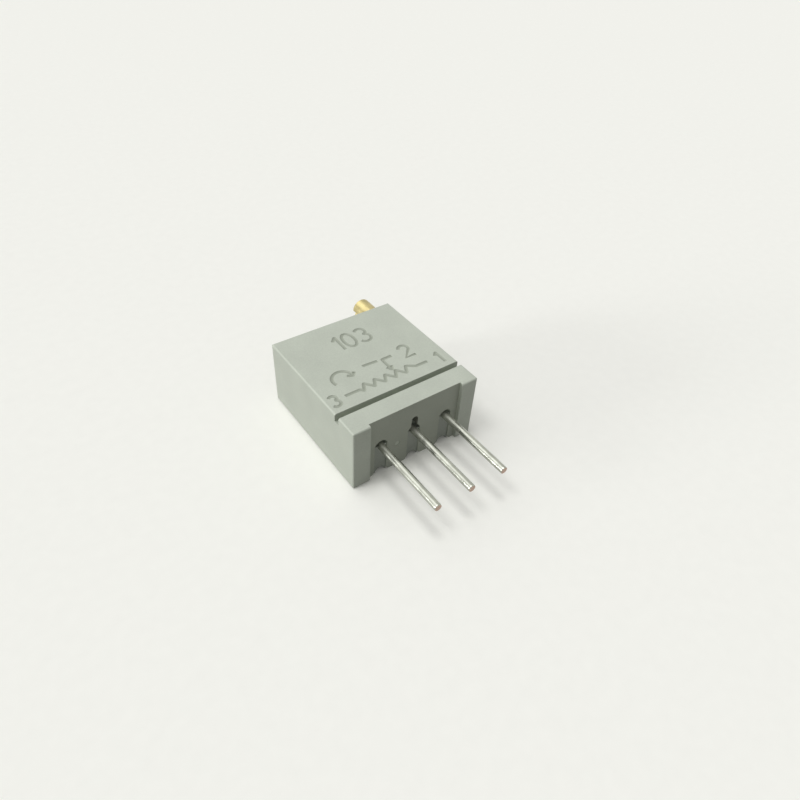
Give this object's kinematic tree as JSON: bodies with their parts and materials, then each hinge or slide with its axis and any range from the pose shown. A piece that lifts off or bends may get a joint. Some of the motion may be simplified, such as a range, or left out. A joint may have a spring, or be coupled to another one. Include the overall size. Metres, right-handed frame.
{
  "type": "trimmer potentiometer",
  "caption": "Flat square multiturn trimmer potentiometer with a row of wire pins and a slotted worm screw that turns the wiper's rotor.",
  "frame": {"origin": "centre of the back face, which it lies on", "axes": "+Z out of the marked face, +Y from the pins to the adjusting screw, +X along the row of pins, pin 3 at -X and pin 1 at +X"},
  "size_m": [0.0096, 0.0175, 0.0048],
  "materials": {
    "case_plastic": "matte moulded, warm greenish grey",
    "seal_resin": "cast resin, slightly uneven",
    "ceramic": "fired alumina, matte",
    "resistor_print": "fired cermet print",
    "conductor_print": "fired silver print",
    "tinned_wire": "bright tinned copper wire, sheared ends",
    "solder": "satin solder",
    "rotor_plastic": "natural engineering plastic",
    "spring_metal": "rolled contact spring metal",
    "brass": "turned brass, bright",
    "ring_rubber": "silicone rubber",
    "clip_metal": "stamped sheet"
  },
  "bodies": {
    "case": {"case": "case_plastic", "back_seal": "seal_resin", "ceramic_plate": "ceramic", "resistance_track": "resistor_print", "end_pad_1": "conductor_print", "end_pad_3": "conductor_print", "collector": "conductor_print", "pin_1": "tinned_wire", "pin_2": "tinned_wire", "pin_3": "tinned_wire", "solder_1": "solder", "solder_2": "solder", "solder_3": "solder", "screw_clip": "clip_metal"},
    "screw": {"adjusting_screw": "brass", "seal_ring": "ring_rubber"},
    "rotor": {"rotor": "rotor_plastic", "wiper_spring": "spring_metal"}
  },
  "joints": [
    {"name": "screw_turn", "type": "hinge", "parent": "case", "child": "screw", "pos_m": [0.00364, 0.00508, 0.0037], "axis": [0, -1, 0], "range_deg": [-4500, 4500]},
    {"name": "rotor_turn", "type": "hinge", "parent": "case", "child": "rotor", "pos_m": [0, 0.00055, 0.0037], "axis": [0, 0, 1], "range_deg": [-132.36, 132.36]}
  ],
  "couplings": [
    {"joint": "rotor_turn", "follows": "screw_turn", "ratio": 0.029412}
  ]
}
